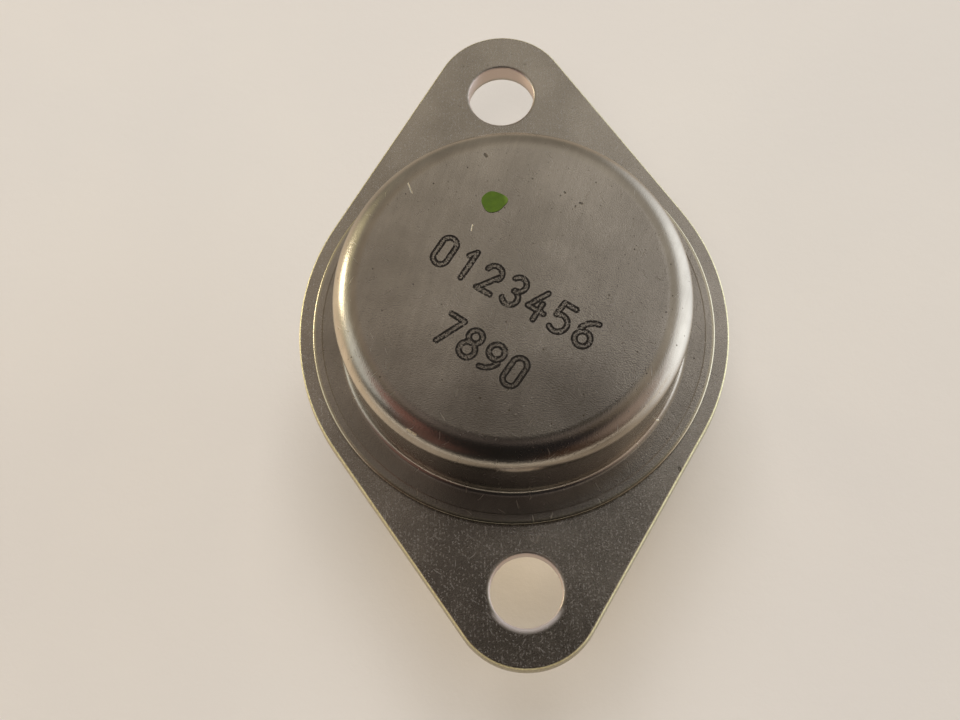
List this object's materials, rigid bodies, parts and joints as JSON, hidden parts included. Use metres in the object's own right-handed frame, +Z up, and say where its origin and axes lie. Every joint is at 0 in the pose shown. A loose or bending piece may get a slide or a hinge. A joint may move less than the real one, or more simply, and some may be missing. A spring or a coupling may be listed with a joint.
{
  "type": "voltage regulator in a metal can package",
  "caption": "Metal can voltage regulator: a round drawn cap welded to a lozenge-shaped mounting flange with screw holes, and straight glass-sealed pins below.",
  "frame": {"origin": "middle of the flange's seating face, halfway between the two screw holes", "axes": "+Z up through the flange and the cap, away from the pins; Y along the line of the screw holes, the pins lying to the +Y side of the middle; X along the line of the two pins, the input pin on the -X side"},
  "size_m": [0.025, 0.0386, 0.0193],
  "materials": {
    "flange_nickel": "satin nickel plate",
    "cap_nickel": "satin nickel plate",
    "pin_nickel": "bright nickel plate",
    "seal_glass": "fused sealing glass, nearly opaque",
    "copper": "bare copper",
    "braze": "braze alloy",
    "solder": "dull solder",
    "silicon": "polished silicon",
    "bond_wire": "bright drawn wire",
    "green_paint": "glossy paint drop"
  },
  "bodies": {
    "root": {"header_flange": "flange_nickel", "cap": "cap_nickel", "input_pin": "pin_nickel", "output_pin": "pin_nickel", "input_glass_seal": "seal_glass", "output_glass_seal": "seal_glass", "heat_spreader": "copper", "spreader_braze": "braze", "die_solder": "solder", "regulator_die": "silicon", "input_bond_wire": "bond_wire", "output_bond_wire": "bond_wire", "sense_bond_wire": "bond_wire", "ground_bond_wire": "bond_wire", "paint_dot": "green_paint"}
  },
  "joints": []
}
